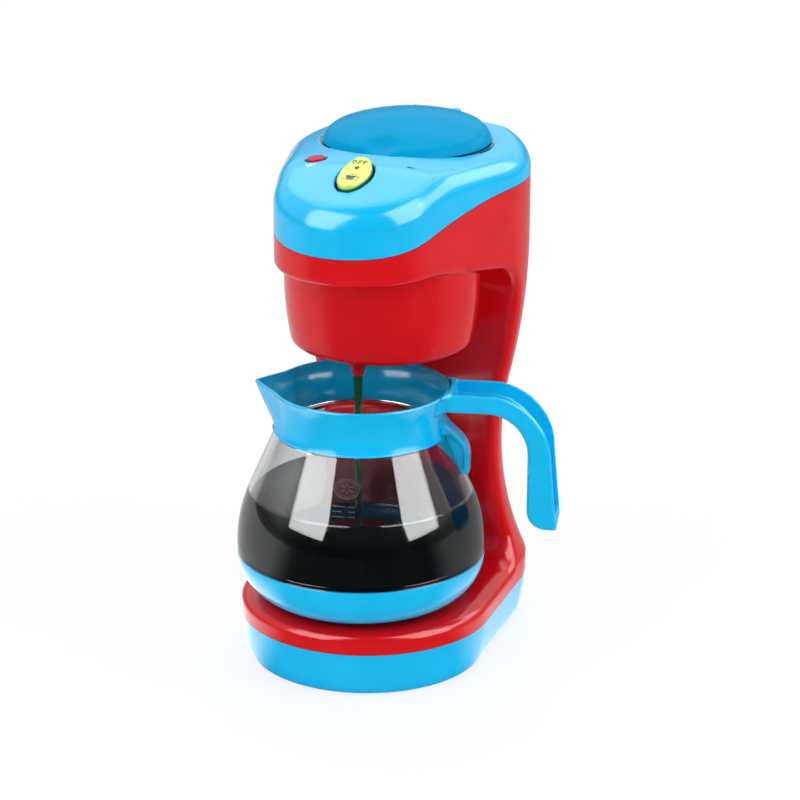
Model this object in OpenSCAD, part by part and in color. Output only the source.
// Toy coffee maker: a hollow moulded machine with a hinged reservoir lid, a
// rocker switch, a battery pump and a slide-out carafe.
// Millimetres. The origin is on the ground under the carafe's axis.
// +Z is up, -Y is the front, and the machine is symmetric about X = 0.

/* [Base] */
// How much wider the base's round ends are than the rear of the head
base_over = 2.3; // [1:0.1:3]
// Y of the centre of the base's front end
base_front_y = 7.5; // [5:0.5:9]
// Height of the seam between the blue tray and the red deck
base_top = 20.5; // [18:0.5:22]
// How far the tray's wall leans inwards down to its underside
base_lean = 4.3; // [2:0.1:5]
// Height at which the rubber feet hold the tray
foot_gap = 0.5; // [0.3:0.1:1]
// Radius of a rubber foot
foot_r = 5.5; // [4:0.5:7]
// Depth of a foot's seat in the tray floor
foot_seat = 1.2; // [0.8:0.1:1.4]

/* [Deck and column] */
// Height of the deck that carries the carafe
deck_top = 30.5; // [29:0.5:32]
// Radius along the deck's upper edge
deck_edge_r = 4.5; // [2:0.5:5.5]
// Y of the column's round axis, which the rear of every storey shares
axis_y = 60; // [58:0.5:64]
// Y of the flat back
back_y = 102; // [99:0.5:104]
// Radius of the upright corners of the flat back
back_corner_r = 14; // [10:0.5:18]
// Y of the column's front face
column_front_y = 58; // [56:0.5:59]
// Height of the column's waist
waist_z = 85; // [80:1:90]
// Radius of the column at its waist
waist_r = 43.2; // [41:0.2:46]
// Radius of the column's lower sweep towards the deck
sweep_r = 150; // [130:5:200]
// Part of the upper sweep that is hollow, the rest is full
sweep_split = 0.34; // [0.25:0.01:0.5]
// Fillet between the column and the deck
deck_fillet_r = 12; // [8:0.5:16]
// Y of the seam between the body and the rear cover
rear_seam_y = 78; // [74:0.5:80]

/* [Head] */
// Radius of the head's round front
head_front_r = 37.5; // [35:0.5:40]
// Radius of the head's round rear
head_rear_r = 54.2; // [53:0.2:56]
// Height of the head's underside
head_z = 182; // [180:0.5:184]
// Y from which the head's underside runs down towards the column
droop_y = -6; // [-10:1:0]
// Slope of the head's underside behind that line, in degrees
droop = 10; // [6:0.5:12]
// Radius of the arch from the head's underside into the column
arch_r = 16; // [12:0.5:20]
// Height of the cover seam at the front
seam_low_z = 194.5; // [193:0.1:196]
// Height of the cover seam at the sides and rear
seam_high_z = 210; // [207:0.5:211]
// Y where the cover seam starts to climb
seam_start_y = -46; // [-50:1:-40]
// Y where the cover seam stops climbing
seam_end_y = 58; // [50:1:62]
// Share of the seam's climb that bends upwards
seam_split = 0.28; // [0.2:0.02:0.5]

/* [Drum] */
// Y of the drum's axis
drum_y = 26; // [24:0.5:28]
// Radius of the drum where it meets the head
drum_top_r = 43.3; // [42:0.1:44]
// Radius of the drum's bulging flank in section
drum_flank_r = 150; // [110:5:200]
// Height from which the drum's flank curves in
drum_mid_z = 172; // [168:1:176]
// Height of the drum's underside
drum_z = 140.5; // [139:0.5:142]
// Radius along the drum's lower edge
drum_edge_r = 3.2; // [2:0.1:5]

/* [Top cover] */
// Height of the cover's flat top
cover_top_z = 227; // [226:0.5:229]
// Slope of the control panel at the front, in degrees
brow_tilt = 17; // [14:0.5:19]
// Y where the flat top ends and the control panel slopes down
brow_y = 3; // [0:0.5:5]
// Width of the cover's rounded upper edge
cover_edge_w = 8.5; // [7:0.5:11]
// Height of the cover's rounded upper edge
cover_edge_h = 8.5; // [7:0.5:12]

/* [Lid] */
// Y of the lid's centre
lid_y = 56; // [54:0.5:56.5]
// Radius of the lid
lid_r = 38; // [35:0.5:38.5]
// Height of the lid's dome above its shoulder's centre
lid_rise = 11; // [10:0.5:13]
// Radius of the lid's rounded shoulder
lid_shoulder_r = 6; // [5:0.5:9]
// Thickness of the lid
lid_wall = 2; // [1.6:0.1:2.4]
// Gap around the lid in its opening
lid_gap = 0.4; // [0.3:0.05:0.8]
// Radius of the finger scoop at the front of the lid
scoop_r = 12; // [11:0.5:15]
// Radius of the lid's hinge pin
lid_pin_r = 1.1; // [0.9:0.05:1.3]
// Radius of the lid's hinge barrel
barrel_r = 2; // [1.9:0.05:2.2]
// Width of the lid's hinge barrel
barrel_w = 16; // [12:1:20]
// Width of each hinge ear on the cover
ear_w = 3; // [2:0.5:4]

/* [Controls] */
// Y of the rocker button's centre
rocker_y = -7.6; // [-9:0.2:-7]
// Half width of the rocker button
rocker_r = 7; // [6.5:0.1:7.5]
// Length of the rocker button
rocker_l = 25.2; // [24:0.2:26]
// Radius of the button's round ends
rocker_tip_r = 4.5; // [4:0.1:5]
// How far the button stands above the panel
rocker_proud = 2.4; // [1.5:0.1:3]
// Gap around the button
rocker_gap = 0.8; // [0.7:0.05:1.2]
// Radius of the rocker's pin
rocker_pin_r = 1; // [0.8:0.05:1.2]
// X of the indicator lens
lens_x = 23.6; // [21:0.2:24.6]
// Y of the indicator lens
lens_y = 7.4; // [7.4:0.2:9]
// Radius of the indicator lens
lens_r = 4.3; // [3.8:0.1:4.8]

/* [Reservoir and plumbing] */
// Height of the underside of the reservoir
tank_z = 190; // [189:0.5:196]
// Wall of the reservoir
tank_wall = 1.6; // [1.2:0.1:2]
// Inner radius of a hose
hose_bore_r = 2; // [1.8:0.1:2.2]
// Gap between a hose's bore and the spigot inside it
spigot_gap = 0.2; // [0.15:0.05:0.3]
// Bore of a spigot
spigot_bore_r = 0.9; // [0.7:0.1:1]
// Wall of a hose
hose_wall = 1; // [0.8:0.1:1.2]
// How far the drip nozzle stands behind the drum's front edge
nozzle_in = 13.8; // [12.8:0.5:17.3]
// Height of the nozzle's tip
nozzle_tip_z = 133; // [132:0.2:134]
// Radius of the nozzle's tip
nozzle_tip_r = 2.7; // [2.2:0.1:3]
// Radius of the nozzle's root
nozzle_root_r = 5; // [4.6:0.1:5.2]

/* [Pump] */
// Y of the pump's upright axis
pump_y = 80; // [79:0.5:82]
// Height of the pump housing's underside
pump_z = 50; // [48:0.5:54]
// Outer radius of the pump housing
pump_r = 15; // [14:0.5:16]
// Height of the pump housing
pump_h = 16; // [14:0.5:18]
// Radius of the impeller
impeller_r = 11; // [9:0.5:11.5]
// Number of impeller blades
impeller_blades = 6; // [4:1:8]
// Width of the foot that holds the housing to the column
pump_foot_w = 12; // [10:0.5:14]
// Radius of the motor's shaft
shaft_r = 1.5; // [1.2:0.1:1.8]
// Radius of the motor's can
motor_r = 12; // [10:0.5:13]
// Height of the motor's can
motor_h = 25; // [20:1:28]

/* [Batteries] */
// Radius of one cell
cell_r = 7.25; // [7.25:0.05:7.3]
// Length of one cell
cell_l = 50.5; // [50:0.1:50.5]
// Distance between neighbouring cells
cell_pitch = 15.6; // [15:0.1:16]
// Height of the lower end of the cells
cell_z = 135; // [134.5:0.5:136]
// Width of a battery contact
contact_w = 10; // [8:0.5:12]
// Wall of the battery box
box_wall = 1.5; // [1.2:0.1:1.6]
// Radius of the door's hinge rod
door_rod_r = 1.2; // [1:0.1:1.4]

/* [Carafe] */
// Largest radius of the globe
globe_r = 55; // [53:0.5:56]
// Height of the globe's widest ring
globe_z = 55; // [53:0.5:57]
// Radius of the globe's flank in section
flank_r = 64; // [60:1:70]
// Height of the cup's upper edge
cup_top_z = 52; // [50:0.5:52.5]
// Height of the collar's lower edge
collar_z = 108; // [106:0.5:110]
// Radius of the collar's waist
collar_waist_r = 36; // [35:0.5:37]
// Radius of the collar's hollow flank in section
collar_flank_r = 22; // [20:1:26]
// Height of the pouring rim
rim_z = 127.5; // [126:0.5:128]
// Wall of the collar
collar_wall = 1.8; // [1.4:0.1:2.2]
// Wall of the globe
globe_wall = 2; // [1.5:0.1:2.5]
// Reach of the spout's tip from the axis
spout_reach = 48; // [45:0.5:50]
// Height of the globe's inner ring, which rests on the bowl
ring_h = 2; // [1.5:0.1:3]
// Height of the globe's neck inside the collar
neck_h = 4; // [3:0.5:8]
// Height of the coffee inside
coffee_z = 80; // [66:1:86]
// Turn of the handle from +X towards the back, in degrees
handle_turn = 13; // [8:1:18]

/* [Handle] */
// Width of the handle
handle_w = 24; // [20:0.5:26]
// Wall of the handle's channel
handle_wall = 2.2; // [1.8:0.1:2.6]
// Reach where the handle starts to bend down
bend_reach = 56; // [53:0.5:58]
// Outer radius of the handle's bend
bend_r = 28.5; // [26:0.5:30]
// Depth of the handle at its root
handle_depth = 8.2; // [7:0.2:10]
// Depth of the handle at its grip
grip_depth = 10.2; // [9:0.2:12]
// How much the grip widens down to its lower end
grip_flare = 3; // [0:0.5:4]
// Radius of the clip under the handle
clip_r = 9.5; // [8.5:0.1:10]
// Height of the grip's lower end
grip_z = 68; // [64:1:76]

/* [Shell and fits] */
// Wall of the red body
body_wall = 2.5; // [2:0.1:3]
// Wall of the blue tray
tray_wall = 2.4; // [2:0.1:3]
// Wall of the blue cover
cover_wall = 2.5; // [2:0.1:3]
// Radial clearance of a pin that turns in its bore
run_gap = 0.05; // [0.03:0.01:0.08]
// Clearance between pieces that sit in each other
seat_gap = 0.2; // [0.15:0.05:0.3]
// Radius of a screw's shank
screw_r = 1.4; // [1.2:0.1:1.6]
// Length of a screw in the cover
cover_screw_l = 14; // [12:0.5:15]
// Length of a screw in the circuit board
board_screw_l = 8; // [7:0.5:8]
// Radius of a screw's head
screw_head_r = 2.8; // [2.4:0.1:3]
// Wall of a screw boss
boss_wall = 2.4; // [2:0.1:2.8]

/* [Hidden] */
$fn = 96;
arc_fn = 360;
cut = 0.5;
big = 400;

// ---- sizes worked out from the ones above -------------------------------

base_r = head_rear_r + base_over;
back_half = back_y - axis_y;
corner_dy = back_half - back_corner_r;
boss_r = screw_r + boss_wall;
hose_r = hose_bore_r + hose_wall;
spigot_r = hose_bore_r * 0.95 - spigot_gap;

// Upper sweep of the column: two arcs from the waist to the head. The full
// one is a hair flatter than tangent, so that the two meet in a clean edge.
sweep_l = head_z - waist_z;
sweep_d = head_rear_r - waist_r;
sweep_a = 2 * atan(sweep_d / sweep_l);
sweep_sum = sweep_l / sin(sweep_a);
hollow_r = sweep_split * sweep_sum;
full_r = sweep_sum - hollow_r + 0.5;

// Cover seam: two tangent arcs, the upper one flatter.
seam_l = seam_end_y - seam_start_y;
seam_d = seam_high_z - seam_low_z;
seam_a = 2 * atan(seam_d / seam_l);
seam_sum = seam_l / sin(seam_a);
seam_low_r = seam_split * seam_sum;
seam_high_r = seam_sum - seam_low_r;

// The arch touches the sloping underside and the column's front face.
arch_y = column_front_y - arch_r;
arch_z = head_z - (arch_y - droop_y) * tan(droop) - arch_r / cos(droop);
arch_rear_r = head_rear_r - full_r + sqrt(pow(full_r, 2) - pow(head_z - arch_z, 2)) - 0.4;

// Lid.
lid_rim_z = cover_top_z - cover_wall + 0.3;
lid_edge_z = cover_top_z - 1.5;
lid_flat_r = lid_r - lid_shoulder_r;
crown_r = (pow(lid_flat_r, 2) + pow(lid_rise, 2) - pow(lid_shoulder_r, 2))
  / (2 * (lid_rise - lid_shoulder_r));
crown_z = lid_edge_z + lid_rise - crown_r;
hinge_y = lid_y + lid_r + 1.5;
hinge_z = cover_top_z + 1.6;

// Controls.
panel_z = cover_top_z - (brow_y - rocker_y) * tan(brow_tilt);
rocker_pin_drop = 4;
barrel_half = rocker_r - 0.8;
rocker_pin_y = rocker_y + rocker_pin_drop * sin(brow_tilt);
rocker_pin_z = panel_z - rocker_pin_drop * cos(brow_tilt);
board_z = cover_top_z - 21;
board_t = 1.6;
board_w = 54;
board_front_y = -16;
board_back_y = 18;
post_x = 20;
post_ys = [-11, 13];

// Drum and nozzle.
nozzle_y = drum_y - drum_top_r + nozzle_in;
nozzle_seat_z = drum_z + body_wall;

// Pump.
pump_wall = 2;
pump_top = pump_z + pump_h;
spigot_z = pump_z + pump_h / 2;
spigot_l = 5;
shaft_low_z = pump_z + pump_wall + 1;
shaft_top_z = pump_top + 8;

// Batteries.
box_half = cell_pitch + cell_r + 1 + box_wall;
box_low_z = cell_z - 3;
box_top_z = cell_z + cell_l + 3;
cell_y = back_y - body_wall - 1 - cell_r;
box_front_y = cell_y - cell_r - 1 - box_wall;
box_rear_y = back_y - body_wall - 3;
door_half = cell_pitch + 5.4;
lug_h = 7;
door_low_z = box_low_z + 1;
door_top_z = box_top_z + lug_h - 1;
door_screw_z = box_top_z + lug_h / 2;
door_rod_y = back_y - door_rod_r;
door_rod_z = door_low_z + door_rod_r;

// Screws.
base_screw_at = [[-33, -20], [33, -20], [-40, 44], [40, 44]];
base_head_z = foot_gap + 3 - 1.8;
base_screw_l = deck_top - 3.5 - base_head_z;
foot_at = [[0, 0], [-22, -30], [22, -30], [-34, 80], [34, 80]];
rear_screw_at = [[-14, 39], [14, 39], [-14, 118], [14, 118]];
rear_head_y = 84;
cover_screw_at = [[-19, -23], [19, -23]];
cover_boss_z = head_z + body_wall + 8;

// Carafe sections.
cup_arc_r = cup_top_z - deck_top;
cup_flat_r = globe_r - cup_arc_r;
neck_out_r = collar_waist_r - collar_wall - seat_gap;
collar_mid_z = (collar_z + rim_z) / 2 - 2.5;
shoulder_z = collar_z;
shoulder_r = collar_r(shoulder_z) + 0.4;
flank_d = norm([shoulder_r - (globe_r - flank_r), shoulder_z - globe_z]);
flank_a = atan2(shoulder_z - globe_z, shoulder_r - globe_r + flank_r) - acos(flank_r / flank_d);
flank_end = [globe_r - flank_r + flank_r * cos(flank_a), globe_z + flank_r * sin(flank_a)];

// Handle.
handle_z = rim_z + 1;
grip_reach = bend_reach + bend_r;
inner_bend_r = bend_r - grip_depth;
bend_z = handle_z - bend_r;
inner_bend_z = handle_z - handle_depth - inner_bend_r;

// Outer radius of the drum at a height.
function drum_r(z, inset) =
  drum_top_r - drum_flank_r + sqrt(pow(drum_flank_r - inset, 2) - pow(drum_mid_z - z, 2));

// Outer radius of the collar at a height.
function collar_r(z) =
  collar_waist_r + collar_flank_r - sqrt(pow(collar_flank_r, 2) - pow(z - collar_mid_z, 2));

// Routes of the two hoses, points chosen along the inside of the column.
suction_route = [[0, 70, 187], [0, 70, 180], [-4, 70, 172], [-14, 68, 162],
  [-22, 67, 146], [-25, 67, 126], [-25, 68, 106], [-25, 70, 90],
  [-27, 73, 76], [-29, 77, 66], [-29, 80, 60], [-25, 80, 58], [-16, 80, 58]];
delivery_route = [[16, 80, 58], [25, 80, 58], [29, 79, 62], [29, 76, 74],
  [26, 72, 90], [25, 68, 106], [25, 66, 136], [25, 64, 164],
  [23, 58, 176], [18, 48, 182], [10, 34, 181], [4, 18, 174],
  [1, 4, 164], [0, nozzle_y + 1.5, 158], [0, nozzle_y, 154], [0, nozzle_y, 145]];

// ---- plan shapes -------------------------------------------------------

// Two circles on the Y axis and the band between their common tangents.
module capsule(r1, y1, r2, y2) {
  a = asin((r2 - r1) / (y2 - y1));
  translate([0, y1]) circle(r1);
  translate([0, y2]) circle(r2);
  polygon([
    [r1 * cos(a), y1 - r1 * sin(a)], [r2 * cos(a), y2 - r2 * sin(a)],
    [-r2 * cos(a), y2 - r2 * sin(a)], [-r1 * cos(a), y1 - r1 * sin(a)]]);
}

// What lies behind the flat back and outside its two round corners.
module behind(inset, rear_r = head_rear_r) {
  x = sqrt(pow(rear_r - back_corner_r, 2) - pow(corner_dy, 2));
  a = atan2(corner_dy, x);
  translate([-big / 2, back_y - inset]) square([big, big]);
  for (s = [-1, 1]) {
    translate([s * x, axis_y + corner_dy]) difference() {
      polygon([[0, 0], [s * big * cos(a), big * sin(a)], [0, big]]);
      circle(back_corner_r - inset);
    }
  }
}

module base_plan(inset) {
  difference() {
    capsule(base_r - inset, base_front_y, base_r - inset, axis_y);
    behind(inset, base_r);
  }
}

module head_plan(inset, rear_r = head_rear_r) {
  difference() {
    capsule(head_front_r - inset, 0, rear_r - inset, axis_y);
    behind(inset);
  }
}

// An oval of four arcs: a wide and b long from its middle, with ends of
// radius tip. The side arcs end a little short, so that they cross the ends.
module oval(a, b, tip) {
  e = b - tip;
  side = (a * a + e * e - tip * tip) / (2 * (a - tip));
  for (s = [-1, 1]) {
    translate([0, s * e]) circle(tip);
  }
  intersection() {
    translate([a - side, 0]) circle(side, $fn = arc_fn);
    translate([side - a, 0]) circle(side, $fn = arc_fn);
    square([2 * a, 2 * (e * side / (side - tip) - 0.5)], center = true);
  }
}

// Draws a side view: its X becomes Y, its Y becomes Z.
module across(width) {
  rotate([90, 0, 90]) linear_extrude(width, center = true) children();
}

// ---- side views --------------------------------------------------------

// Everything under the cover seam.
module under_seam_2d() {
  mid_y = seam_start_y + seam_low_r * sin(seam_a);
  mid_z = seam_low_z + seam_low_r * (1 - cos(seam_a));
  translate([-big / 2, 0]) square([big / 2 + seam_start_y, seam_low_z]);
  difference() {
    translate([seam_start_y, 0]) square([mid_y - seam_start_y, mid_z]);
    translate([seam_start_y, seam_low_z + seam_low_r]) circle(seam_low_r, $fn = arc_fn);
  }
  intersection() {
    translate([mid_y, 0]) square([seam_end_y - mid_y, seam_high_z]);
    translate([seam_end_y, seam_high_z - seam_high_r]) circle(seam_high_r, $fn = arc_fn);
  }
  translate([seam_end_y, 0]) square([big / 2, seam_high_z]);
}

module under_seam() {
  across(big) under_seam_2d();
}

// The bay between deck, column and head, grown outwards by the inset.
module bay_2d(inset) {
  y1 = column_front_y + inset;
  z0 = deck_top - inset;
  z1 = head_z + inset;
  top = arch_r + inset;
  low = deck_fillet_r + inset;
  bend_y = droop_y + inset * tan(droop / 2);
  difference() {
    polygon([[-big / 2, z0], [y1, z0], [y1, arch_z],
      [arch_y + top * sin(droop), arch_z + top * cos(droop)], [bend_y, z1], [-big / 2, z1]]);
    difference() {
      translate([y1 - low, z0 - cut]) square([low + cut, low + cut]);
      translate([y1 - low, z0 + low]) circle(low);
    }
  }
  translate([arch_y, arch_z]) circle(top, $fn = arc_fn);
}

// Half section of the column, drawn with height along X and radius along Y.
module column_2d(inset, low_z) {
  hollow_a = sweep_a;
  mid_z = waist_z + (hollow_r + inset) * sin(hollow_a);
  full_top = head_rear_r - inset;
  difference() {
    translate([low_z, 0]) square([waist_z - low_z, big / 4]);
    translate([waist_z, waist_r + sweep_r]) circle(sweep_r + inset, $fn = arc_fn);
    translate([waist_z - sweep_r, waist_r + sweep_r]) square([sweep_r, big]);
  }
  difference() {
    translate([waist_z, 0]) square([mid_z - waist_z, waist_r + hollow_r]);
    translate([waist_z, waist_r + hollow_r]) circle(hollow_r + inset, $fn = arc_fn);
  }
  intersection() {
    translate([mid_z, 0]) square([head_z - mid_z, full_top]);
    union() {
      translate([head_z, head_rear_r - full_r]) circle(full_r - inset, $fn = arc_fn);
      translate([mid_z, 0]) square([full_r, 1]);
    }
  }
}

module column(inset, low_z) {
  intersection() {
    translate([0, axis_y, 0]) rotate_extrude() mirror([1, -1, 0]) column_2d(inset, low_z);
    linear_extrude(big) difference() {
      translate([-big / 2, -big / 2]) square(big);
      behind(inset);
    }
  }
}

// ---- body --------------------------------------------------------------

// The drum with its bulging flank and rounded lower edge, up to a height.
module drum_form(inset, top_z) {
  e = drum_edge_r - min(inset, drum_edge_r - 0.5);
  z0 = drum_z + inset;
  r0 = drum_r(z0 + e, inset);
  translate([0, drum_y, 0]) rotate_extrude() {
    translate([0, z0]) square([r0 - e, e]);
    intersection() {
      translate([r0 - e, z0 + e]) circle(e);
      translate([0, z0]) square([r0, e]);
    }
    intersection() {
      translate([drum_top_r - drum_flank_r, drum_mid_z]) circle(drum_flank_r - inset, $fn = arc_fn);
      translate([0, z0 + e]) square([drum_top_r, drum_mid_z - z0 - e]);
    }
    translate([0, drum_mid_z]) square([drum_top_r - inset, top_z - drum_mid_z]);
  }
}

// Outer form of the red machine at inset 0, its hollow at the wall's inset.
module body_form(inset, top_z) {
  difference() {
    union() {
      translate([0, 0, head_z]) linear_extrude(top_z - head_z) head_plan(inset);
      translate([0, 0, arch_z]) linear_extrude(head_z - arch_z) head_plan(inset, arch_rear_r);
      column(inset, base_top + 3);
    }
    across(big) bay_2d(inset);
  }
  drum_form(inset, head_z + inset + cut);
}

// The deck, stepped along its rounded upper edge.
module deck_slab() {
  e = deck_edge_r;
  for (a = [90, 60, 40, 20, 0]) {
    translate([0, 0, base_top])
      linear_extrude(deck_top - e - base_top + e * cos(90 - a)) base_plan(e * (1 - cos(a)));
  }
}

module red_shell() {
  difference() {
    intersection() {
      union() {
        deck_slab();
        body_form(0, big / 2 + 20);
      }
      under_seam();
    }
    body_form(body_wall, big / 2 + 30);
    translate([0, 0, base_top - cut])
      linear_extrude(deck_top - body_wall - base_top + cut) base_plan(body_wall);
  }
}

module front_half() {
  translate([-big / 2, -big / 2, -cut]) cube([big, big / 2 + rear_seam_y, big]);
}

module base_boss(z0, z1, r) {
  for (p = base_screw_at) {
    translate([p[0], p[1], z0]) cylinder(r = r, h = z1 - z0);
  }
}

module rear_boss(y0, y1, r) {
  for (p = rear_screw_at) {
    translate([p[0], y0, p[1]]) rotate([-90, 0, 0]) cylinder(r = r, h = y1 - y0);
  }
}

module cover_boss(z0, z1, r) {
  for (p = cover_screw_at) {
    translate([p[0], p[1], z0]) cylinder(r = r, h = z1 - z0);
  }
}

module body_shell() {
  color("red") difference() {
    union() {
      intersection() {
        red_shell();
        front_half();
      }
      base_boss(base_top - 6, deck_top - 1, boss_r);
      rear_boss(column_front_y + 1, rear_seam_y, boss_r);
      cover_boss(head_z + 1, cover_boss_z, boss_r);
    }
    base_boss(base_top - 7, deck_top - 3, screw_r);
    rear_boss(column_front_y + 4, rear_seam_y + 1, screw_r);
    cover_boss(head_z - cut, cover_boss_z + cut, screw_r + seat_gap);
    cover_boss(head_z - cut, head_z + body_wall + 2, screw_head_r + seat_gap);
    translate([0, nozzle_y, drum_z - cut]) cylinder(r = nozzle_root_r + seat_gap, h = body_wall + 1);
  }
}

module rear_cover() {
  color("red") difference() {
    union() {
      difference() {
        red_shell();
        front_half();
      }
      rear_boss(rear_seam_y, back_y - 1, screw_head_r + seat_gap + 1.6);
    }
    rear_boss(rear_seam_y - 1, rear_head_y + 1, screw_r + seat_gap);
    rear_boss(rear_head_y, back_y + 1, screw_head_r + seat_gap);
    translate([-door_half - 0.3, back_y - body_wall - 1, door_low_z - 0.3])
      cube([2 * door_half + 0.6, body_wall + 2, door_top_z - door_low_z + 0.6]);
  }
}

// ---- base --------------------------------------------------------------

// The tray's outer form or its hollow, with a wall that leans in downwards.
module tray_form(inset, z0, z1) {
  hull() {
    for (k = [[0, 1], [0.12, 0.66], [0.5, 0.3], [1, 0]]) {
      translate([0, 0, z0 + (z1 - z0 - 0.1) * k[0]]) linear_extrude(0.1)
        base_plan(inset + base_lean * k[1]);
    }
  }
}

module base_tray() {
  floor_z = foot_gap + tray_wall;
  color("deepskyblue") difference() {
    union() {
      difference() {
        tray_form(0, foot_gap, base_top);
        tray_form(tray_wall, floor_z, base_top + cut);
      }
      base_boss(foot_gap + 1, base_top - 6, boss_r);
      translate([0, speaker_y, floor_z - 1]) difference() {
        cylinder(r = speaker_r + seat_gap + 1.6, h = 6);
        cylinder(r = speaker_r + seat_gap, h = 7);
      }
    }
    base_boss(foot_gap - cut, base_top, screw_r + seat_gap);
    base_boss(foot_gap - cut, foot_gap + 3, screw_head_r + seat_gap);
    for (p = foot_at) {
      translate([p[0], p[1], foot_gap - cut]) cylinder(r = foot_r + seat_gap, h = foot_seat + cut);
    }
    for (k = [-2 : 2]) {
      translate([k * 4 - 0.8, speaker_y - 8, foot_gap - cut]) cube([1.6, 16, tray_wall + 1]);
    }
  }
}

speaker_y = 24;
speaker_r = 14;
speaker_h = 7;

module speaker() {
  z0 = foot_gap + tray_wall + 0.1;
  color("dimgray") translate([0, speaker_y, z0]) {
    difference() {
      cylinder(r = speaker_r, h = 3);
      translate([0, 0, -cut]) cylinder(r1 = speaker_r - 2, r2 = 5, h = 2.6 + cut);
    }
    translate([0, 0, 2.9]) cylinder(r = speaker_r * 0.55, h = speaker_h - 2.9);
  }
}

module rubber_feet() {
  color("black") for (p = foot_at) {
    translate([p[0], p[1], 0]) cylinder(r = foot_r, h = foot_gap + foot_seat);
  }
}

module screw(length) {
  difference() {
    union() {
      cylinder(r = screw_head_r, h = 1.8);
      translate([0, 0, 1.7]) cylinder(r = screw_r, h = length - 1.7);
    }
    for (a = [0, 90]) {
      rotate(a) translate([-screw_head_r * 0.65, -0.4, -cut]) cube([screw_head_r * 1.3, 0.8, 1 + cut]);
    }
  }
}

module base_screws() {
  color("silver") for (p = base_screw_at) {
    translate([p[0], p[1], base_head_z]) screw(base_screw_l);
  }
}

module rear_screws() {
  color("silver") for (p = rear_screw_at) {
    translate([p[0], rear_head_y + 1.8, p[1]]) rotate([90, 0, 0])
      screw(rear_head_y + 1.8 - column_front_y - 5);
  }
}

module cover_screws() {
  color("silver") for (p = cover_screw_at) {
    translate([p[0], p[1], head_z + body_wall + 2 - 1.8]) screw(cover_screw_l);
  }
}

// ---- top cover ---------------------------------------------------------

module slab(z) {
  translate([0, 0, z]) linear_extrude(0.1) children();
}

// A round slice, set back from the cover's flank and sunk below its top.
module rear_slice(inset, back, drop) {
  slab(cover_top_z - 0.1 - drop) difference() {
    translate([0, axis_y]) circle(head_rear_r - back, $fn = 64);
    behind(back);
  }
}

module brow_slice(inset, back, drop) {
  translate([0, brow_y, cover_top_z - drop]) rotate([brow_tilt, 0, 0])
    translate([0, -brow_y, -0.1]) linear_extrude(0.1) intersection() {
      circle(head_front_r - back, $fn = 64);
      translate([-big / 2, -big]) square([big, big + brow_y]);
    }
}

// Closed outer form of the cover, or its hollow at the wall's inset.
module cover_form(inset, low_z) {
  t = inset;
  w = cover_edge_w;
  h = cover_edge_h;
  hull() {
    translate([0, 0, low_z]) linear_extrude(0.1) head_plan(t, $fn = 64);
    slab(cover_top_z - t - h - 0.1) translate([0, axis_y]) intersection() {
      circle(head_rear_r - t, $fn = 64);
      translate([-big / 2, -big / 2]) square([big, big / 2 + back_half - back_corner_r]);
    }
    rear_slice(t, t + w * 0.134, t + h * 0.5);
    rear_slice(t, t + w * 0.5, t + h * 0.134);
    rear_slice(t, t + w, t);
    brow_slice(t, t + 0.4, t + h * 0.8);
    brow_slice(t, t + w * 0.24, t + h * 0.36);
    brow_slice(t, t + w * 0.78, t);
  }
}

module lid_opening(extra) {
  translate([0, lid_y]) circle(lid_r + extra);
}

module on_panel(x, y) {
  translate([x, y, cover_top_z - (brow_y - y) * tan(brow_tilt)]) rotate([brow_tilt, 0, 0]) children();
}

module at_lens() {
  translate([-lens_x, lens_y, cover_top_z]) children();
}

module top_cover() {
  color("lightskyblue") difference() {
    union() {
      difference() {
        cover_form(0, seam_low_z - 4);
        cover_form(cover_wall, seam_low_z - 5);
        under_seam();
      }
      intersection() {
        cover_form(1, seam_low_z - 5);
        cover_boss(cover_boss_z, cover_top_z, boss_r);
      }
      intersection() {
        cover_form(1, seam_low_z - 5);
        for (x = [-post_x, post_x], y = post_ys) {
          translate([x, y, board_z + board_t]) cylinder(r = boss_r - 0.8, h = 30);
        }
      }
      for (s = [-1, 1]) {
        translate([s * (barrel_w / 2 + 0.3 + ear_w / 2), hinge_y, 0]) {
          translate([0, 0, hinge_z]) rotate([0, 90, 0])
            cylinder(r = barrel_r + 0.4, h = ear_w, center = true);
          translate([-ear_w / 2, -barrel_r - 0.4, cover_top_z - 3.4])
            cube([ear_w, 2 * barrel_r + 0.8, hinge_z - cover_top_z + 3.4]);
        }
      }
      intersection() {
        cover_form(1, seam_low_z - 5);
        for (s = [-1, 1]) {
          translate([s * (rocker_r + rocker_gap + 2.4), rocker_pin_y, 0])
            translate([-1.2, -3, rocker_pin_z - 3]) cube([2.4, 6, 20]);
        }
      }
    }
    translate([0, 0, cover_top_z - cover_wall - 6]) linear_extrude(cover_wall + 8) lid_opening(lid_gap);
    on_panel(0, rocker_y) translate([0, 0, -2.5 * cover_wall]) linear_extrude(5 * cover_wall)
      oval(rocker_r + rocker_gap, rocker_l / 2 + rocker_gap, rocker_tip_r + rocker_gap);
    at_lens() translate([0, 0, -3 * cover_wall]) cylinder(r = lens_r - 0.8, h = 4 * cover_wall);
    at_lens() translate([0, 0, -1]) cylinder(r = lens_r + seat_gap, h = 4);
    translate([0, hinge_y, hinge_z]) rotate([0, 90, 0])
      cylinder(r = lid_pin_r + 0.02, h = big, center = true);
    translate([0, rocker_pin_y, rocker_pin_z]) rotate([0, 90, 0])
      cylinder(r = rocker_pin_r + 0.02, h = 2 * (rocker_r + rocker_gap + 4), center = true);
    cover_boss(cover_boss_z - 1, cover_boss_z + 10, screw_r);
    for (x = [-post_x, post_x], y = post_ys) {
      translate([x, y, board_z + board_t - 1]) cylinder(r = screw_r - 0.4, h = 7);
    }
  }
}

// ---- lid ---------------------------------------------------------------

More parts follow.
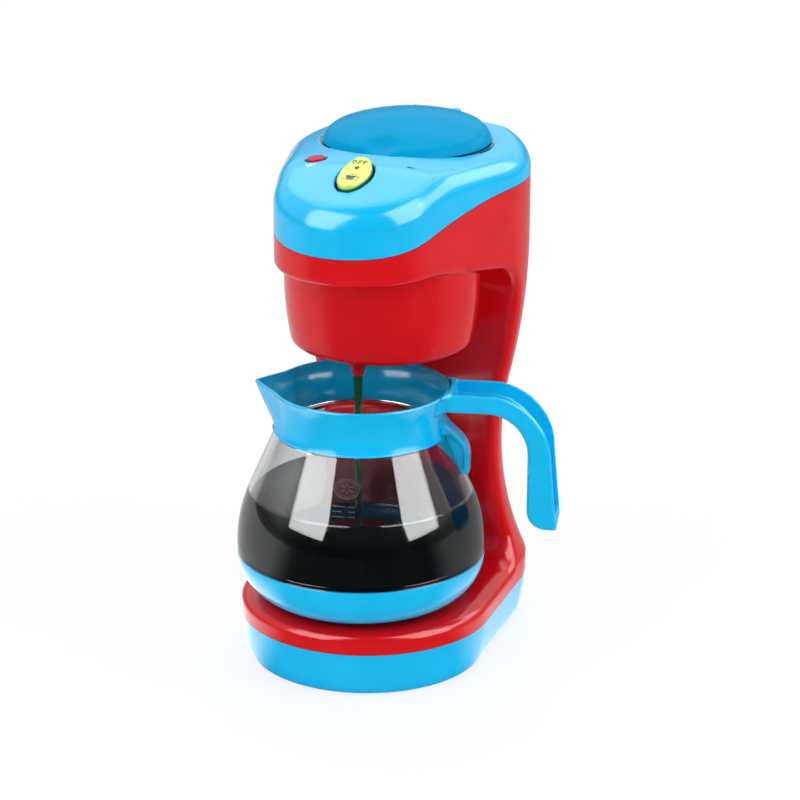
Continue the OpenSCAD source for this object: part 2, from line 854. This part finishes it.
// Half section of the lid: a flat crown on a round shoulder.
module dome_2d(inset, low_z) {
  k = crown_r / (crown_r - lid_shoulder_r);
  translate([0, low_z]) square([lid_r - inset, lid_edge_z - low_z]);
  translate([lid_flat_r, lid_edge_z]) circle(lid_shoulder_r - inset);
  intersection() {
    translate([0, crown_z]) circle(crown_r - inset, $fn = arc_fn);
    translate([0, lid_edge_z]) square([lid_flat_r * k, lid_rise]);
  }
}

module lid_solid(inset, low_z) {
  translate([0, lid_y, 0]) rotate_extrude() intersection() {
    dome_2d(inset, low_z);
    translate([0, low_z]) square([lid_r, 50]);
  }
}

module scoop(extra) {
  translate([0, lid_y - lid_r + 3, cover_top_z + scoop_r - 0.5]) sphere(scoop_r + extra);
}

module lid() {
  color("deepskyblue") difference() {
    union() {
      difference() {
        lid_solid(0, lid_rim_z);
        difference() {
          lid_solid(lid_wall, lid_rim_z - 1);
          scoop(lid_wall);
        }
      }
      translate([-barrel_w / 2, hinge_y - 9, hinge_z - 0.9]) cube([barrel_w, 9, 1.8]);
      translate([0, hinge_y, hinge_z]) rotate([0, 90, 0])
        cylinder(r = barrel_r, h = barrel_w, center = true);
    }
    scoop(0);
    translate([0, hinge_y, hinge_z]) rotate([0, 90, 0])
      cylinder(r = lid_pin_r + run_gap, h = big, center = true);
  }
}

module lid_pin() {
  color("silver") translate([0, hinge_y, hinge_z]) rotate([0, 90, 0])
    cylinder(r = lid_pin_r, h = barrel_w + 0.6 + 2 * ear_w, center = true);
}

// ---- reservoir and plumbing ---------------------------------------------

module water_tank() {
  flange_z = cover_top_z - cover_wall - 2;
  color([0.8, 0.9, 0.95, 0.6]) difference() {
    union() {
      translate([0, 0, tank_z]) linear_extrude(flange_z - tank_z) lid_opening(-3);
      translate([0, 0, flange_z]) linear_extrude(2) lid_opening(1.2);
      translate([0, suction_route[0][1], tank_z - 9]) cylinder(r = spigot_r, h = 10);
    }
    translate([0, 0, tank_z + tank_wall]) linear_extrude(60) lid_opening(-3 - tank_wall);
    translate([0, suction_route[0][1], tank_z - 11]) cylinder(r = spigot_bore_r, h = 20);
    translate([-big / 2, lid_y + lid_r - 2, tank_z]) cube([big, big, 60]);
  }
}

// A tube of rings along a route, closed at its ends: outer skin and bore.
function unit(v) = v / norm(v);
function along(p, i) =
  unit(p[min(i + 1, len(p) - 1)] - p[max(i - 1, 0)]);
function carried(p, i, u) = i == len(p) ? []
  : let (t = along(p, i), v = unit(u - (u * t) * t)) concat([v], carried(p, i + 1, v));
function ring(p, t, u, r, n) =
  [for (k = [0 : n - 1]) p + r * (cos(360 * k / n) * u + sin(360 * k / n) * cross(t, u))];

module tube(route, r, n = 10) {
  m = len(route);
  sides = carried(route, 0, [0.31, 0.52, 0.8]);
  points = [for (i = [0 : m - 1]) each ring(route[i], along(route, i), sides[i], r, n)];
  walls = [for (i = [0 : m - 2], k = [0 : n - 1])
    [i * n + k, (i + 1) * n + k, (i + 1) * n + (k + 1) % n, i * n + (k + 1) % n]];
  low = [[for (k = [0 : n - 1]) k]];
  high = [[for (k = [n - 1 : -1 : 0]) (m - 1) * n + k]];
  polyhedron(points, concat(walls, low, high), convexity = 4);
}

// The route with both ends drawn out, for the bore.
function drawn_out(p) = let (m = len(p) - 1)
  concat([p[0] - unit(p[1] - p[0])], p, [p[m] + unit(p[m] - p[m - 1])]);

module hose(route) {
  color("white") difference() {
    tube(route, hose_r);
    tube(drawn_out(route), hose_bore_r);
  }
}

module suction_hose() {
  hose(suction_route);
}

module delivery_hose() {
  hose(delivery_route);
}

module drip_nozzle() {
  color("red") translate([0, nozzle_y, 0]) difference() {
    union() {
      translate([0, 0, nozzle_tip_z]) cylinder(r1 = nozzle_tip_r, r2 = nozzle_root_r, h = 6.5);
      translate([0, 0, nozzle_tip_z + 6.5])
        cylinder(r = nozzle_root_r, h = nozzle_seat_z - nozzle_tip_z - 6.5);
      translate([0, 0, nozzle_seat_z]) cylinder(r = nozzle_root_r + 1.6, h = 1.6);
      translate([0, 0, nozzle_seat_z]) cylinder(r = spigot_r, h = 6.5);
    }
    translate([0, 0, nozzle_tip_z - 1]) cylinder(r = spigot_bore_r, h = 30);
  }
}

// ---- pump --------------------------------------------------------------

module pump_housing() {
  color("white") translate([0, pump_y, 0]) difference() {
    union() {
      translate([0, 0, pump_z]) cylinder(r = pump_r, h = pump_h);
      translate([-pump_r - spigot_l, 0, spigot_z]) rotate([0, 90, 0])
        cylinder(r = spigot_r, h = 2 * (pump_r + spigot_l));
      translate([-pump_foot_w / 2, -pump_y + column_front_y + body_wall, pump_z])
        cube([pump_foot_w, pump_y - column_front_y - body_wall, 3]);
    }
    translate([0, 0, pump_z + pump_wall]) cylinder(r = impeller_r + 1, h = pump_h - 2 * pump_wall);
    translate([-pump_r - spigot_l - 1, 0, spigot_z]) rotate([0, 90, 0])
      cylinder(r = spigot_bore_r, h = 2 * (pump_r + spigot_l + 1));
    translate([0, 0, pump_top - pump_wall - 1]) cylinder(r = shaft_r + run_gap, h = pump_wall + 2);
    translate([0, 0, pump_z - 1 + pump_wall]) cylinder(r = shaft_r + run_gap, h = 2);
  }
}

module impeller() {
  z0 = pump_z + pump_wall + 0.6;
  color("gold") translate([0, pump_y, 0]) {
    translate([0, 0, pump_z + pump_wall - 0.7]) cylinder(r = shaft_r, h = shaft_top_z - pump_z - pump_wall + 0.7);
    translate([0, 0, z0]) cylinder(r = 3.4, h = pump_h - 2 * pump_wall - 1.2);
    for (k = [0 : impeller_blades - 1]) {
      rotate(k * 360 / impeller_blades) translate([2.6, -0.6, z0])
        cube([impeller_r - 2.6, 1.2, pump_h - 2 * pump_wall - 1.2]);
    }
  }
}

module motor() {
  color("silver") translate([0, pump_y, pump_top]) difference() {
    union() {
      cylinder(r = motor_r, h = motor_h);
      translate([0, 0, motor_h]) cylinder(r = 4, h = 2);
    }
    translate([0, 0, -1]) cylinder(r = shaft_r + run_gap, h = shaft_top_z - pump_top + 2);
  }
}

// ---- controls ----------------------------------------------------------

module rocker_button() {
  color("greenyellow") difference() {
    union() {
      on_panel(0, rocker_y) difference() {
        translate([0, 0, -3]) linear_extrude(rocker_proud + 3)
          oval(rocker_r, rocker_l / 2, rocker_tip_r);
        translate([0, 0, rocker_proud + 59.2]) rotate([0, 90, 0])
          cylinder(r = 60, h = 40, center = true, $fn = arc_fn);
      }
      translate([0, rocker_pin_y, rocker_pin_z]) rotate([0, 90, 0])
        cylinder(r = rocker_pin_r + 1.4, h = 2 * barrel_half, center = true);
      on_panel(0, rocker_y) translate([0.6 - barrel_half, -1.8, -rocker_pin_drop])
        cube([2 * barrel_half - 1.2, 3.6, rocker_pin_drop - 1]);
    }
    translate([0, rocker_pin_y, rocker_pin_z]) rotate([0, 90, 0])
      cylinder(r = rocker_pin_r + run_gap, h = big, center = true);
  }
}

module rocker_pin() {
  color("silver") translate([0, rocker_pin_y, rocker_pin_z]) rotate([0, 90, 0])
    cylinder(r = rocker_pin_r, h = 2 * (rocker_r + rocker_gap + 3.4), center = true);
}

module switch_module() {
  z0 = board_z + board_t;
  color("dimgray") {
    translate([-5, rocker_pin_y - 6.5, z0]) cube([10, 13, 5]);
    for (s = [-1, 1]) {
      y = rocker_pin_y + s * 4.7;
      translate([0, y, z0 + 4.9])
        cylinder(r = 1.2, h = panel_z + (y - rocker_y) * tan(brow_tilt) - 4.4 - z0 - 4.9);
    }
  }
}

module indicator_lens() {
  color("crimson") at_lens() difference() {
    union() {
      translate([0, 0, -0.9]) cylinder(r = lens_r, h = 1.5);
      translate([0, 0, -5]) cylinder(r = lens_r - 1, h = 5);
    }
    translate([0, 0, -6]) cylinder(r = lens_r - 1.7, h = 5);
  }
}

module led() {
  z0 = board_z + board_t;
  z1 = cover_top_z - 8;
  color("red") translate([-lens_x, lens_y, 0]) {
    for (s = [-1, 1]) {
      translate([s * 1.27, 0, z0]) cylinder(r = 0.5, h = z1 - 4 - z0 + 0.1);
    }
    translate([0, 0, z1 - 4]) cylinder(r = 2.2, h = 3);
    translate([0, 0, z1 - 1]) sphere(2.2, $fn = 48);
  }
}

module circuit_board() {
  color("seagreen") difference() {
    translate([-board_w / 2, board_front_y, board_z]) cube([board_w, board_back_y - board_front_y, board_t]);
    for (x = [-post_x, post_x], y = post_ys) {
      translate([x, y, board_z - cut]) cylinder(r = screw_r, h = board_t + 2 * cut);
    }
  }
}

module board_screws() {
  color("silver") for (x = [-post_x, post_x], y = post_ys) {
    translate([x, y, board_z - 1.8]) {
      cylinder(r = screw_head_r - 0.6, h = 1.8);
      cylinder(r = screw_r - 0.45, h = board_screw_l);
    }
  }
}

// ---- batteries ----------------------------------------------------------

module battery_box() {
  color("gray") difference() {
    union() {
      translate([-box_half, box_front_y, box_low_z])
        cube([2 * box_half, box_rear_y - box_front_y, box_top_z - box_low_z]);
      translate([-cell_pitch, box_front_y, box_low_z])
        cube([2 * cell_pitch, back_y - body_wall - box_front_y, box_top_z - box_low_z]);
      translate([-lug_h / 2, back_y - body_wall - lug_h, box_top_z - 0.5]) cube([lug_h, lug_h, lug_h]);
    }
    translate([0, back_y, door_screw_z]) rotate([90, 0, 0]) cylinder(r = screw_r, h = lug_h);
    translate([-box_half + box_wall, box_front_y + box_wall, box_low_z + box_wall])
      cube([2 * (box_half - box_wall), big, box_top_z - box_low_z - 2 * box_wall]);
  }
}

module battery_cells() {
  color("goldenrod") for (k = [-1 : 1]) {
    translate([k * cell_pitch, cell_y, cell_z]) {
      cylinder(r = cell_r, h = cell_l - 1);
      translate([0, 0, cell_l - 1.1]) cylinder(r = 2.7, h = 1.1);
    }
  }
}

module battery_contacts() {
  w = contact_w;
  strip = 0.8 * contact_w;
  color("silver") for (k = [-1 : 1]) {
    translate([k * cell_pitch - w / 2, cell_y - strip / 2, box_low_z + box_wall])
      cube([w, strip, cell_z - box_low_z - box_wall]);
    translate([k * cell_pitch - strip / 2, cell_y - strip / 2, cell_z + cell_l]) cube([strip, strip, 0.6]);
    translate([k * cell_pitch - w / 2, cell_y - w / 2, box_top_z - box_wall - 0.6]) cube([w, w, 0.6]);
    translate([k * cell_pitch - w / 2, cell_y - w / 2, cell_z + cell_l])
      cube([w, 1, box_top_z - box_wall - cell_z - cell_l]);
  }
}

module battery_door() {
  color("red") difference() {
    union() {
      translate([-door_half, back_y - 2, door_low_z + 1]) cube([2 * door_half, 2, door_top_z - door_low_z - 1]);
      translate([0, door_rod_y, door_rod_z]) rotate([0, 90, 0])
        cylinder(r = door_rod_r, h = 2 * door_half, center = true);
    }
    translate([0, back_y + 1, door_screw_z]) rotate([90, 0, 0]) cylinder(r = screw_r + seat_gap, h = 10);
  }
}

module door_screw() {
  color("silver") translate([0, back_y + 1.8, door_screw_z]) rotate([90, 0, 0]) screw(1.8 + 1.4 * body_wall);
}

// ---- carafe --------------------------------------------------------------

// Half section of the globe's outside, from the cup's arc to the neck.
module globe_2d(inset) {
  translate([cup_flat_r, cup_top_z]) intersection() {
    circle(cup_arc_r - inset);
    translate([0, -big]) square([big, big]);
  }
  translate([0, deck_top + inset]) square([cup_flat_r, cup_arc_r - inset + 0.01]);
  translate([0, cup_top_z]) square([globe_r - inset, globe_z - cup_top_z]);
  intersection() {
    translate([globe_r - flank_r, globe_z]) circle(flank_r - inset, $fn = arc_fn);
    translate([0, globe_z]) square([globe_r, flank_end[1] - globe_z]);
  }
  polygon([[0, flank_end[1]], [flank_end[0] - inset * 0.92, flank_end[1]],
    [shoulder_r - inset * 1.08, shoulder_z], [0, shoulder_z]]);
}

module carafe_cup() {
  color("deepskyblue") rotate_extrude() intersection() {
    difference() {
      globe_2d(0);
      globe_2d(globe_wall);
    }
    translate([0, 0]) square([big, cup_top_z]);
  }
}

// The clear wall from the cup's edge to the neck, with a ring at its foot.
module carafe_globe() {
  ring_z = cup_top_z + 0.1;
  color([0.9, 0.95, 1, 0.3]) rotate_extrude() {
    difference() {
      globe_2d(0);
      globe_2d(globe_wall);
      square([big, ring_z]);
    }
    difference() {
      globe_2d(0);
      globe_2d(2 * globe_wall + 0.1);
      square([big, ring_z]);
      translate([0, ring_z + ring_h]) square([big, big]);
    }
    translate([neck_out_r - globe_wall, shoulder_z - globe_wall])
      square([shoulder_r - neck_out_r, globe_wall]);
    translate([neck_out_r - globe_wall, shoulder_z - globe_wall]) square([globe_wall, neck_h]);
  }
}

// The clear bowl inside the cup, which the globe's ring closes.
module carafe_bowl() {
  color([0.9, 0.95, 1, 0.3]) rotate_extrude() difference() {
    globe_2d(globe_wall + 0.1);
    globe_2d(2 * globe_wall + 0.1);
    translate([0, cup_top_z + 0.1]) square([big, big]);
  }
}

module coffee() {
  ring_top = cup_top_z + ring_h + 0.3;
  color([0.1, 0.05, 0.02]) rotate_extrude() {
    intersection() {
      globe_2d(2 * globe_wall + 0.3);
      square([big, ring_top + 1]);
    }
    intersection() {
      globe_2d(globe_wall + 0.2);
      translate([0, ring_top]) square([big, coffee_z - ring_top]);
    }
  }
}

// Outer form of the collar at inset 0, its hollow at the wall's inset.
module collar_2d(inset, low_z, top_z) {
  difference() {
    translate([0, low_z]) square([collar_waist_r + collar_flank_r, top_z - low_z]);
    translate([collar_waist_r + collar_flank_r, collar_mid_z])
      circle(collar_flank_r + inset, $fn = arc_fn);
  }
}

module spout_form(inset, top_z) {
  half = 15 - inset;
  root_x = collar_waist_r - 6;
  hull() {
    translate([0, 0, top_z - 0.1]) linear_extrude(0.1)
      polygon([[root_x, -half - 2], [root_x + 8, -half + 3], [spout_reach - inset * 2, 0],
        [root_x + 8, half - 3], [root_x, half + 2]]);
    translate([collar_waist_r - 2 - inset, 0, collar_z + 3 + inset]) cylinder(r = 3, h = 0.1, $fn = 32);
  }
}

module carafe_collar() {
  color("deepskyblue") difference() {
    union() {
      rotate_extrude() collar_2d(0, collar_z, rim_z);
      rotate(180 + handle_turn) spout_form(0, rim_z + 0.6);
    }
    rotate_extrude() collar_2d(collar_wall, collar_z - 1, rim_z + 1);
    rotate(180 + handle_turn) spout_form(collar_wall, rim_z + 1);
  }
}

// Side view of the handle's underside: what lies inside the bend.
module inside_bend(extra) {
  translate([0, 0]) square([bend_reach, handle_z - handle_depth + extra]);
  translate([0, 0]) square([grip_reach - grip_depth + extra, inner_bend_z]);
  translate([bend_reach, inner_bend_z]) circle(inner_bend_r + extra);
}

module handle_outline() {
  root = collar_waist_r + 0.5;
  end_r = (grip_depth + grip_flare) / 2;
  difference() {
    union() {
      translate([root, 0]) square([bend_reach - root, handle_z]);
      translate([bend_reach, bend_z]) circle(bend_r);
      polygon([[root, 0], [root, bend_z], [grip_reach, bend_z],
        [grip_reach + grip_flare, grip_z + end_r], [grip_reach + grip_flare, 0]]);
    }
    inside_bend(0);
    square([big, grip_z + end_r]);
  }
  translate([grip_reach + grip_flare - end_r, grip_z + end_r]) circle(end_r);
}

module clip_outline() {
  root = collar_waist_r + 0.5;
  difference() {
    union() {
      translate([root, collar_z - 2]) square([5.5, handle_z - handle_depth - collar_z + 3]);
      translate([root + 1.5, collar_z - 7]) circle(clip_r);
    }
    square([big, collar_z - 16]);
  }
}

module carafe_handle() {
  color("deepskyblue") difference() {
    union() {
      rotate([0, 0, handle_turn]) rotate([90, 0, 0]) linear_extrude(handle_w, center = true) handle_outline();
      rotate([0, 0, handle_turn]) rotate([90, 0, 0]) linear_extrude(9, center = true) clip_outline();
    }
    rotate([0, 0, handle_turn]) rotate([90, 0, 0])
      linear_extrude(handle_w - 2 * handle_wall, center = true) difference() {
        translate([collar_waist_r + 6, grip_z + 4]) square([big, big]);
        inside_bend(handle_wall);
      }
    rotate_extrude() collar_2d(-0.1, collar_z - 0.1, rim_z + 3);
    rotate_extrude() globe_2d(-0.2);
  }
}

// ---- the whole machine ----------------------------------------------------

base_tray();
rubber_feet();
body_shell();
rear_cover();
top_cover();
lid();
lid_pin();
water_tank();
suction_hose();
delivery_hose();
drip_nozzle();
pump_housing();
impeller();
motor();
rocker_button();
rocker_pin();
switch_module();
indicator_lens();
led();
circuit_board();
speaker();
battery_box();
battery_cells();
battery_contacts();
battery_door();
door_screw();
base_screws();
rear_screws();
cover_screws();
board_screws();
carafe_cup();
carafe_globe();
carafe_bowl();
carafe_collar();
carafe_handle();
coffee();
